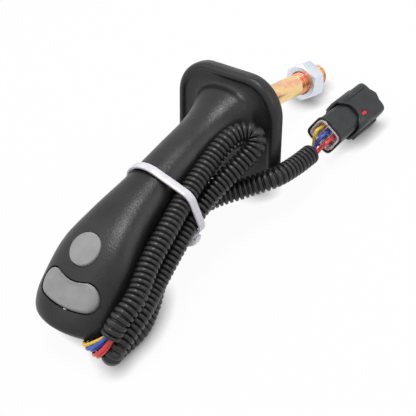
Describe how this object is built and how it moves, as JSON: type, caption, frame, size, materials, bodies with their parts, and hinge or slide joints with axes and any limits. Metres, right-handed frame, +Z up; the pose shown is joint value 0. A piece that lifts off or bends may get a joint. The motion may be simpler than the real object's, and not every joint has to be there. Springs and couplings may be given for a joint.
{
  "type": "industrial joystick handle",
  "caption": "Excavator control handle: black grip with round and kidney thumb buttons, flange, threaded mounting stud and tied corrugated harness ending in a sealed connector.",
  "frame": {"origin": "on the table under the middle of the handle's box, the loose harness left out", "axes": "+Z up from the table; +Y from the flange toward the grip's head; the stud points toward -Y and slightly down"},
  "size_m": [0.0976, 0.2569, 0.0705],
  "materials": {
    "grip_black": "fine texture",
    "screw_black": "black oxide",
    "brass": "plain",
    "zinc_plate": "zinc",
    "yellow_zinc": "yellow chromate",
    "zinc_blue": "blue zinc",
    "button_grey": "fine texture",
    "switch_blue": "plain",
    "spring_steel": "bright",
    "switch_black": "plain",
    "carrier_white": "plain",
    "board_green": "solder mask",
    "rubber_black": "plain",
    "wire_yellow": "plain",
    "wire_blue": "plain",
    "wire_red": "plain",
    "conduit_black": "corrugated",
    "tie_white": "nylon",
    "connector_black": "moulded",
    "retainer_white": "moulded",
    "lock_red": "moulded",
    "seal_brown": "silicone"
  },
  "bodies": {
    "handle": {"grip_body": "grip_black", "rear_cover": "grip_black", "cover_screws": "screw_black", "threaded_insert": "brass", "base_plate": "zinc_plate", "base_screws": "zinc_plate", "stud": "yellow_zinc", "lock_nut": "zinc_blue", "horn_spring": "spring_steel", "horn_switch": "switch_black", "rocker_pin": "spring_steel", "rocker_springs": "spring_steel", "rocker_switches": "switch_black", "switch_carrier": "carrier_white", "carrier_screws": "zinc_plate", "switch_board": "board_green", "wire_grommet": "rubber_black", "wire_yellow": "wire_yellow", "wire_blue": "wire_blue", "wire_red": "wire_red", "wire_blue_two": "wire_blue", "wire_red_two": "wire_red", "conduit": "conduit_black", "tie_strap": "tie_white", "tie_head": "tie_white", "connector_body": "connector_black", "connector_shroud": "connector_black", "wire_retainer": "retainer_white", "lock_slide": "lock_red", "terminals": "brass", "wire_seal": "seal_brown"},
    "horn": {"horn_cap": "button_grey"},
    "plunger": {"horn_plunger": "switch_blue"},
    "rocker": {"rocker_cap": "button_grey"}
  },
  "joints": [
    {"name": "horn_press", "type": "slide", "parent": "handle", "child": "horn", "axis": [0, -0.3592, -0.9333], "range_m": [0, 0.002], "stiffness_N_per_m": 900, "springref_m": -0.002, "deforming": ["horn_spring"]},
    {"name": "plunger_press", "type": "slide", "parent": "handle", "child": "plunger", "axis": [0, -0.3592, -0.9333], "range_m": [0, 0.002]},
    {"name": "rocker_tilt", "type": "hinge", "parent": "handle", "child": "rocker", "pos_m": [0, 0.10644, 0.02938], "axis": [0, 0.9333, -0.3592], "range_deg": [-4, 4], "stiffness_Nm_per_rad": 0.45, "deforming": ["rocker_springs"]}
  ],
  "couplings": [
    {"joint": "plunger_press", "follows": "horn_press", "ratio": 1}
  ]
}
